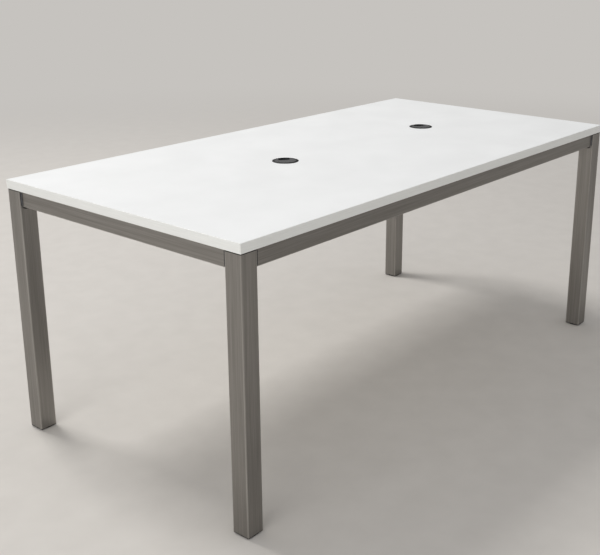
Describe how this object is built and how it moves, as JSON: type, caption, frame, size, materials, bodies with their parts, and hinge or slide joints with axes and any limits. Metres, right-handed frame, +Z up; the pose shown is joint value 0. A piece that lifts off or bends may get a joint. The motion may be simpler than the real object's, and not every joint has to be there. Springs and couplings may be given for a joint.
{
  "type": "work table",
  "caption": "Rectangular work table with a white laminated top, square steel corner legs, set-back rails, levelling feet and slotted cable ports whose caps turn.",
  "frame": {"origin": "on the floor, below the middle of the top", "axes": "+X along the length to the right, +Y across to the back, +Z up"},
  "size_m": [1.8, 0.9, 0.752],
  "materials": {
    "laminate_white": "white decorative laminate, fine satin texture",
    "band_white": "white ABS edge band, satin",
    "board_core": "raw particle board",
    "balance_white": "plain white backing sheet, matt",
    "satin_steel": "satin steel, brushed along the tubes",
    "zinc_steel": "bright zinc plate",
    "black_moulded": "black moulded nylon, fine grain",
    "port_black": "black moulded ABS, satin"
  },
  "bodies": {
    "table": {"top_tabs": "satin_steel", "top_board": "board_core", "top_laminate": "laminate_white", "balance_sheet": "balance_white", "edge_band_front": "band_white", "rail_front": "satin_steel", "edge_band_back": "band_white", "rail_back": "satin_steel", "edge_band_left": "band_white", "rail_left": "satin_steel", "edge_band_right": "band_white", "rail_right": "satin_steel", "leg_front_left": "satin_steel", "leg_cap_front_left": "black_moulded", "foot_plug_front_left": "black_moulded", "connector_front_left_long": "black_moulded", "connector_front_left_end": "black_moulded", "leg_front_right": "satin_steel", "leg_cap_front_right": "black_moulded", "foot_plug_front_right": "black_moulded", "connector_front_right_long": "black_moulded", "connector_front_right_end": "black_moulded", "leg_back_left": "satin_steel", "leg_cap_back_left": "black_moulded", "foot_plug_back_left": "black_moulded", "connector_back_left_long": "black_moulded", "connector_back_left_end": "black_moulded", "leg_back_right": "satin_steel", "leg_cap_back_right": "black_moulded", "foot_plug_back_right": "black_moulded", "connector_back_right_long": "black_moulded", "connector_back_right_end": "black_moulded", "rail_bolts": "zinc_steel", "rail_bolt_washers": "zinc_steel", "rail_lock_screws": "zinc_steel", "top_screws": "zinc_steel", "foot_inserts": "zinc_steel", "port_liner_left": "port_black", "port_liner_right": "port_black"},
    "cap_left": {"port_cap_left": "port_black"},
    "cap_right": {"port_cap_right": "port_black"},
    "foot_front_left": {"glide_pad_front_left": "black_moulded", "glide_stem_front_left": "zinc_steel"},
    "foot_front_right": {"glide_pad_front_right": "black_moulded", "glide_stem_front_right": "zinc_steel"},
    "foot_back_left": {"glide_pad_back_left": "black_moulded", "glide_stem_back_left": "zinc_steel"},
    "foot_back_right": {"glide_pad_back_right": "black_moulded", "glide_stem_back_right": "zinc_steel"}
  },
  "joints": [
    {"name": "cap_left_turn", "type": "hinge", "parent": "table", "child": "cap_left", "pos_m": [-0.24, 0.02, 0.75], "axis": [0, 0, 1], "continuous": true},
    {"name": "cap_right_turn", "type": "hinge", "parent": "table", "child": "cap_right", "pos_m": [0.46, 0.02, 0.75], "axis": [0, 0, 1], "continuous": true},
    {"name": "foot_front_left_level", "type": "slide", "parent": "table", "child": "foot_front_left", "axis": [0, 0, -1], "range_m": [0, 0.015]},
    {"name": "foot_front_right_level", "type": "slide", "parent": "table", "child": "foot_front_right", "axis": [0, 0, -1], "range_m": [0, 0.015]},
    {"name": "foot_back_left_level", "type": "slide", "parent": "table", "child": "foot_back_left", "axis": [0, 0, -1], "range_m": [0, 0.015]},
    {"name": "foot_back_right_level", "type": "slide", "parent": "table", "child": "foot_back_right", "axis": [0, 0, -1], "range_m": [0, 0.015]}
  ]
}
